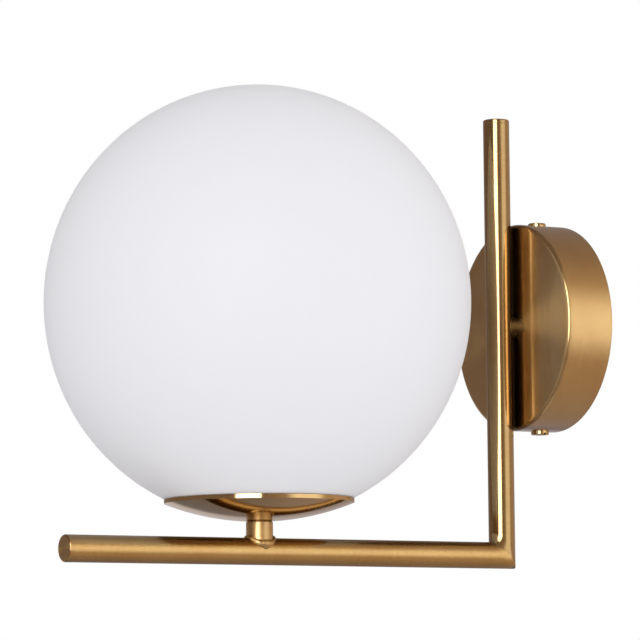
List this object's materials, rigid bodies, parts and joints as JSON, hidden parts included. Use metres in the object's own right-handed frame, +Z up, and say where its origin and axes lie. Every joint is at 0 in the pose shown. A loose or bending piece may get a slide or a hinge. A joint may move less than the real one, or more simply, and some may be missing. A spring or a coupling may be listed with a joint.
{
  "type": "globe wall sconce",
  "caption": "Wall light with an opal glass globe on a shallow brass dish, carried by an L-shaped brass tube that stands off a round wall canopy.",
  "frame": {"origin": "centre of the wall bracket's back face, on the wall, on the canopy's axis", "axes": "+Y points into the wall, the lamp reaches out along -Y, +Z up along the post, +X to the right seen from the room"},
  "size_m": [0.2, 0.268, 0.225],
  "materials": {
    "satin_brass": "antique brass, finely brushed and lacquered",
    "polished_brass": "mirror polished",
    "plain_brass": "turned, uncoated",
    "zinc_steel": "zinc plated",
    "spring_steel": "bright rolled strip",
    "opal_glass": "opal, satin etched",
    "clear_silicone": "translucent silicone",
    "white_plastic": "moulded",
    "black_plastic": "moulded, heat resistant",
    "porcelain": "glazed porcelain",
    "lamp_metal": "nickel plated",
    "lamp_black": "dark glass",
    "lamp_frosted": "frosted",
    "brown_wire": "insulated wire, brown",
    "blue_wire": "insulated wire, blue",
    "earth_wire": "insulated wire, green and yellow"
  },
  "bodies": {
    "wall_frame": {"canopy": "satin_brass", "post_saddle": "satin_brass", "post": "satin_brass", "post_cap": "satin_brass", "arm": "satin_brass", "arm_cap": "satin_brass", "stem": "satin_brass", "dish": "polished_brass", "canopy_side_screws": "polished_brass", "canopy_rod": "plain_brass", "canopy_nut": "plain_brass", "earth_tag": "plain_brass", "stem_rod": "plain_brass", "dish_nut": "plain_brass", "terminal_screws": "plain_brass", "screw_shell": "plain_brass", "centre_contact": "plain_brass", "holder_terminals": "plain_brass", "wall_bracket": "zinc_steel", "canopy_washer": "zinc_steel", "lock_washer": "zinc_steel", "block_screw": "zinc_steel", "earth_screw": "zinc_steel", "earth_washer": "zinc_steel", "spring_gallery": "spring_steel", "glass_springs": "spring_steel", "spring_rivets": "spring_steel", "gasket": "clear_silicone", "terminal_block": "white_plastic", "rod_bush": "white_plastic", "holder_cap": "black_plastic", "holder_skirt": "black_plastic", "holder_insulator": "porcelain", "live_wire": "brown_wire", "neutral_wire": "blue_wire", "earth_lead": "earth_wire"},
    "glass": {"globe": "opal_glass"},
    "bulb": {"lamp_tip": "lamp_metal", "lamp_insulator": "lamp_black", "lamp_cap": "lamp_metal", "lamp_collar": "white_plastic", "lamp_diffuser": "lamp_frosted"}
  },
  "joints": [
    {"name": "globe_lift", "type": "slide", "parent": "wall_frame", "child": "glass", "axis": [0, 0, 1], "range_m": [0, 0.15]},
    {"name": "bulb_unscrew", "type": "slide", "parent": "wall_frame", "child": "bulb", "axis": [0, 0, 1], "range_m": [0, 0.026]}
  ]
}
